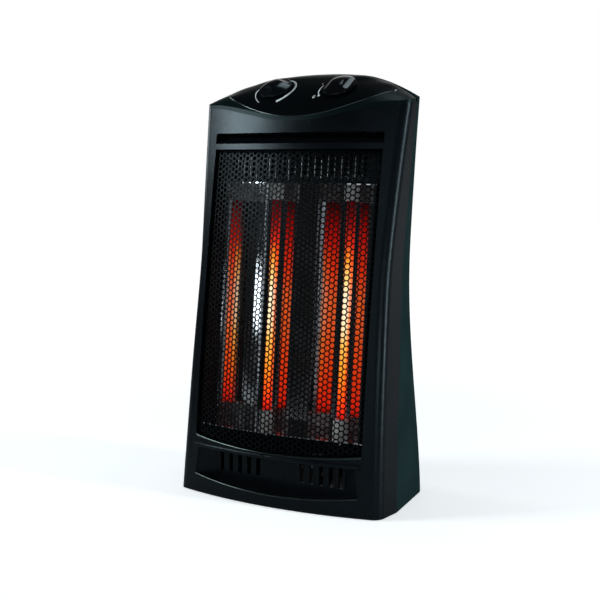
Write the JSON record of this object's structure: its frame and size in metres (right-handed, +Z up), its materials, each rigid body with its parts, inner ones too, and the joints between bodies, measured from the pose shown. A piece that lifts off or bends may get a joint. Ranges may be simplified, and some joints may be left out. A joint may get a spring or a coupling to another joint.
{
  "type": "radiant tower heater",
  "caption": "Free-standing radiant heater: waisted black tower with a bowed mesh guard, glowing upright quartz tubes before a bright reflector, and dial controls on a sloped crown.",
  "frame": {"origin": "floor level, middle of the footprint", "axes": "+Z up, the guarded front faces -Y, +X to the right of someone who looks at the front"},
  "size_m": [0.3142, 0.1978, 0.5636],
  "materials": {
    "black_plastic": "satin black moulded plastic",
    "rear_plastic": "matt greenish-black moulded plastic",
    "trim_plastic": "satin dark grey moulded plastic",
    "panel_gloss": "gloss black plastic",
    "guard_black": "black enamelled perforated steel",
    "knob_gloss": "gloss black plastic",
    "steel": "zinc-plated steel",
    "switch_plastic": "brown phenolic plastic",
    "chamber_black": "black heat-proof paint",
    "bright_reflector": "bright rolled aluminium",
    "galvanised": "galvanised sheet",
    "quartz": "clear quartz",
    "glow_wire": "glowing resistance wire",
    "white_ceramic": "white steatite",
    "rubber": "black rubber",
    "plunger_plastic": "natural nylon"
  },
  "bodies": {
    "case": {"base_plate": "rear_plastic", "base_screws": "steel", "case_screws": "steel", "chamber_floor": "chamber_black", "chamber_roof": "chamber_black", "chamber_screws": "steel", "chamber_side_left": "chamber_black", "chamber_side_right": "chamber_black", "control_panel": "panel_gloss", "cord_gland": "rubber", "element_terminals": "steel", "front_bezel": "black_plastic", "guard_mesh": "guard_black", "heat_shield": "galvanised", "heating_coil_left": "glow_wire", "heating_coil_right": "glow_wire", "lower_cap_left": "white_ceramic", "lower_cap_right": "white_ceramic", "outlet_louvre": "chamber_black", "quartz_tube_left": "quartz", "quartz_tube_right": "quartz", "rear_cover": "rear_plastic", "reflector": "bright_reflector", "rubber_feet": "rubber", "selector_body": "switch_plastic", "selector_nut": "steel", "terminal_block": "white_ceramic", "thermal_cutout": "switch_plastic", "thermostat_body": "switch_plastic", "thermostat_nut": "steel", "tip_lever_pin": "steel", "tip_microswitch": "switch_plastic", "tip_spring": "steel", "tip_switch_body": "switch_plastic", "top_trim": "trim_plastic", "upper_cap_left": "white_ceramic", "upper_cap_right": "white_ceramic"},
    "thermostat_dial": {"thermostat_knob": "knob_gloss", "thermostat_spindle": "steel"},
    "selector_dial": {"selector_knob": "knob_gloss", "selector_spindle": "steel"},
    "tip_foot": {"tip_plunger": "plunger_plastic"},
    "tip_arm": {"tip_lever": "plunger_plastic"}
  },
  "joints": [
    {"name": "thermostat_turn", "type": "hinge", "parent": "case", "child": "thermostat_dial", "pos_m": [-0.049, 0.005, 0.54252], "axis": [0.0006, -0.5426, 0.84], "range_deg": [-210, 90]},
    {"name": "selector_turn", "type": "hinge", "parent": "case", "child": "selector_dial", "pos_m": [0.049, 0.005, 0.54252], "axis": [-0.0006, -0.5426, 0.84], "range_deg": [0, 120]},
    {"name": "tip_slide", "type": "slide", "parent": "case", "child": "tip_foot", "axis": [0, 0, -1], "range_m": [0, 0.005], "stiffness_N_per_m": 60, "springref_m": 0.012, "deforming": ["tip_spring"]},
    {"name": "tip_lever_turn", "type": "hinge", "parent": "case", "child": "tip_arm", "pos_m": [0, 0.034, 0.0383], "axis": [1, 0, 0], "range_deg": [0, 15]}
  ],
  "couplings": [
    {"joint": "tip_lever_turn", "follows": "tip_slide", "rad_per_m": 46.5}
  ]
}
